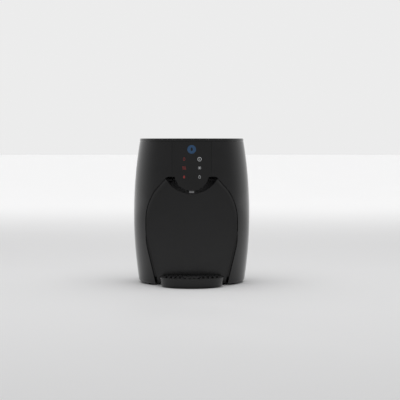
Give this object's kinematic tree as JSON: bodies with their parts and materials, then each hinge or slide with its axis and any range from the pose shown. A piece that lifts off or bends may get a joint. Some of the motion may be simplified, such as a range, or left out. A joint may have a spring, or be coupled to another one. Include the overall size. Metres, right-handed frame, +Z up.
{
  "type": "countertop water dispenser",
  "caption": "Barrel-shaped countertop water dispenser with a touch panel head over an arched recess, one nozzle and a slide-out drip tray.",
  "frame": {"origin": "on the counter, under the middle of the overall size", "axes": "+Z up, the front with the drip tray faces -Y, +X to the right as the user sees it"},
  "size_m": [0.318, 0.334, 0.395],
  "materials": {
    "shell_black": "high gloss",
    "panel_black": "mirror gloss",
    "liner_black": "gloss",
    "tray_black": "gloss",
    "rear_black": "fine texture",
    "nozzle_chrome": "polished",
    "foot_rubber": "matt",
    "shelf_grey": "moulded",
    "steel": "brushed",
    "foam_grey": "cellular foam",
    "fin_aluminium": "extruded",
    "fan_black": "moulded",
    "board_green": "solder mask",
    "component_dark": "moulded",
    "plunger_steel": "turned",
    "screw_steel": "zinc plated",
    "filter_white": "satin",
    "tube_white": "extruded",
    "fitting_white": "moulded"
  },
  "bodies": {
    "housing": {"outer_shell": "shell_black", "splash_liner": "liner_black", "head_housing": "shell_black", "touch_panel": "panel_black", "rear_cover": "rear_black", "rear_cover_screws": "screw_steel", "rubber_feet": "foot_rubber", "mains_inlet": "rear_black", "switch_bodies": "rear_black", "water_inlet": "fitting_white", "drain_bush": "rear_black", "base_plate": "rear_black", "tank_shelf": "shelf_grey", "shelf_screws": "screw_steel", "board_screws": "screw_steel", "touch_board": "board_green", "cold_tank": "steel", "insulation_front": "foam_grey", "insulation_rear": "foam_grey", "cooling_block": "fin_aluminium", "heat_sink": "fin_aluminium", "fan_frame": "fan_black", "hot_tank": "steel", "heater_band": "steel", "thermostat": "component_dark", "filter_socket": "shelf_grey", "pump_head": "shelf_grey", "pump_motor": "fan_black", "valve_manifold": "shelf_grey", "cold_valve_coil": "component_dark", "hot_valve_coil": "component_dark", "power_board": "board_green", "power_board_components": "component_dark", "power_board_screws": "screw_steel", "inlet_tube": "tube_white", "filtered_water_tube": "tube_white", "hot_tank_feed_tube": "tube_white", "cold_tank_feed_tube": "tube_white", "cold_water_tube": "tube_white", "hot_water_tube": "tube_white", "drain_tube": "tube_white", "spout_tube": "tube_white"},
    "lid": {"top_lid": "shell_black"},
    "tray": {"drip_tray": "tray_black"},
    "grille": {"drip_grille": "tray_black"},
    "nozzle": {"nozzle": "nozzle_chrome"},
    "fan": {"fan_rotor": "fan_black"},
    "filter": {"filter_cartridge": "filter_white"},
    "cold_plunger": {"cold_valve_plunger": "plunger_steel"},
    "hot_plunger": {"hot_valve_plunger": "plunger_steel"},
    "power_rocker": {"power_rocker": "rear_black"},
    "hot_water_rocker": {"hot_water_rocker": "rear_black"},
    "drain_plug": {"drain_plug": "rear_black"}
  },
  "joints": [
    {"name": "lid_lift", "type": "slide", "parent": "housing", "child": "lid", "axis": [0, 0, 1], "range_m": [0, 0.08]},
    {"name": "tray_slide", "type": "slide", "parent": "housing", "child": "tray", "axis": [0, -1, 0], "range_m": [0, 0.12]},
    {"name": "grille_lift", "type": "slide", "parent": "tray", "child": "grille", "axis": [0, 0, 1], "range_m": [0, 0.05]},
    {"name": "nozzle_pull", "type": "slide", "parent": "housing", "child": "nozzle", "axis": [0, 0, -1], "range_m": [0, 0.03]},
    {"name": "fan_spin", "type": "hinge", "parent": "housing", "child": "fan", "pos_m": [-0.054, 0.141, 0.201], "axis": [0, 1, 0], "continuous": true},
    {"name": "filter_twist", "type": "hinge", "parent": "housing", "child": "filter", "pos_m": [0.052, -0.005, 0.24], "axis": [0, 0, 1], "range_deg": [0, 60]},
    {"name": "cold_valve", "type": "slide", "parent": "housing", "child": "cold_plunger", "axis": [0, 0, -1], "range_m": [0, 0.0025], "stiffness_N_per_m": 800, "springref_m": -0.002},
    {"name": "hot_valve", "type": "slide", "parent": "housing", "child": "hot_plunger", "axis": [0, 0, -1], "range_m": [0, 0.0025], "stiffness_N_per_m": 800, "springref_m": -0.002},
    {"name": "power_switch", "type": "hinge", "parent": "housing", "child": "power_rocker", "pos_m": [-0.008, 0.1514, 0.04], "axis": [1, 0, 0], "range_deg": [0, 16]},
    {"name": "hot_water_switch", "type": "hinge", "parent": "housing", "child": "hot_water_rocker", "pos_m": [0.012, 0.1514, 0.04], "axis": [1, 0, 0], "range_deg": [0, 16]},
    {"name": "drain_plug_pull", "type": "slide", "parent": "housing", "child": "drain_plug", "axis": [0, 1, 0], "range_m": [0, 0.03]}
  ]
}
